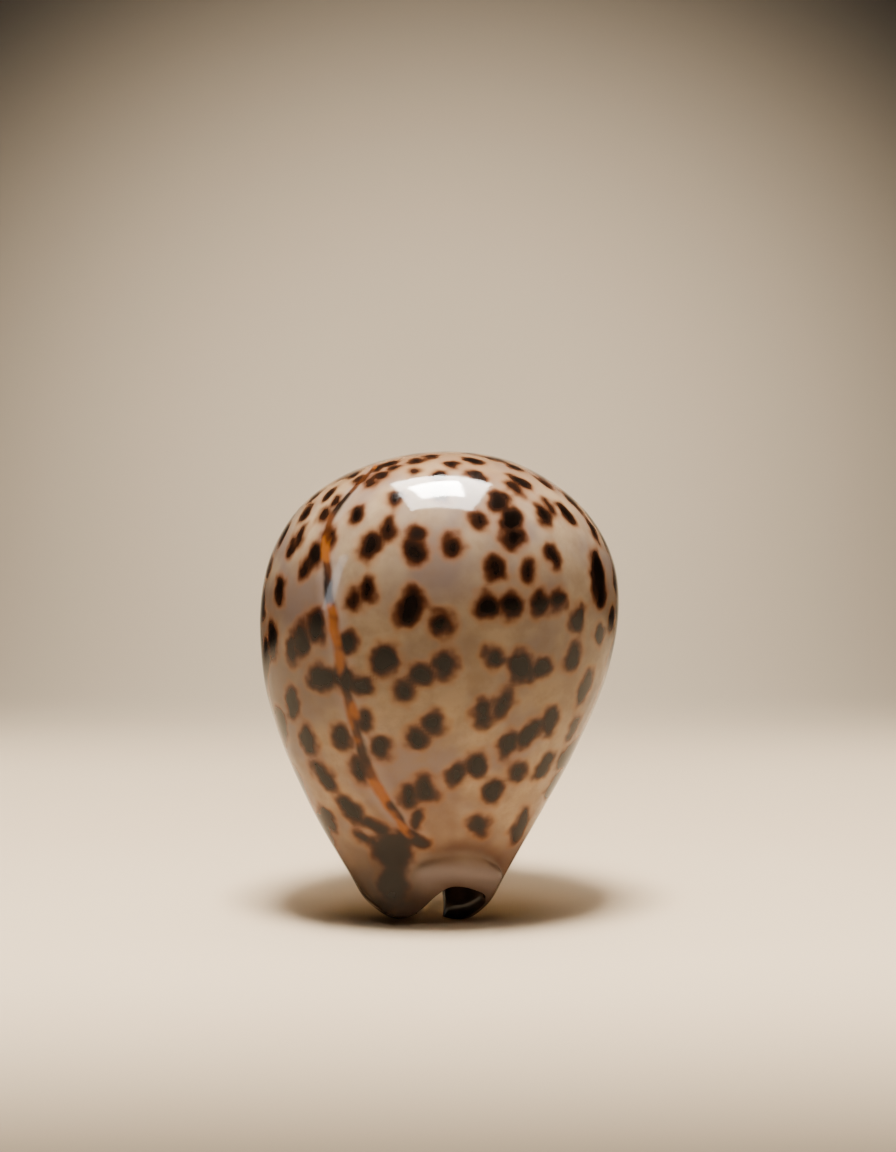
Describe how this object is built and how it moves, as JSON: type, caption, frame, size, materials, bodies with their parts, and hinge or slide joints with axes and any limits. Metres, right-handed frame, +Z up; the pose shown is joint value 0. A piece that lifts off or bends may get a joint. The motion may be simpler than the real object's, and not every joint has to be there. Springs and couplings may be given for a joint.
{
  "type": "cowrie shell",
  "caption": "Glossy tiger cowrie shell standing upright on its narrow front end: domed spotted back, flat pale base with a long toothed slit, hollow inside.",
  "frame": {"origin": "centre of the shell's bounding box on the plane that its two front tips stand on", "axes": "+Z up, along the shell from its front tips to its rear; the domed back faces -Y and the toothed base +Y; the outer lip's side is -X"},
  "size_m": [0.0628, 0.0548, 0.0823],
  "materials": {
    "shell_glaze": "gloss"
  },
  "bodies": {
    "root": {"cowrie_shell": "shell_glaze"}
  },
  "joints": []
}
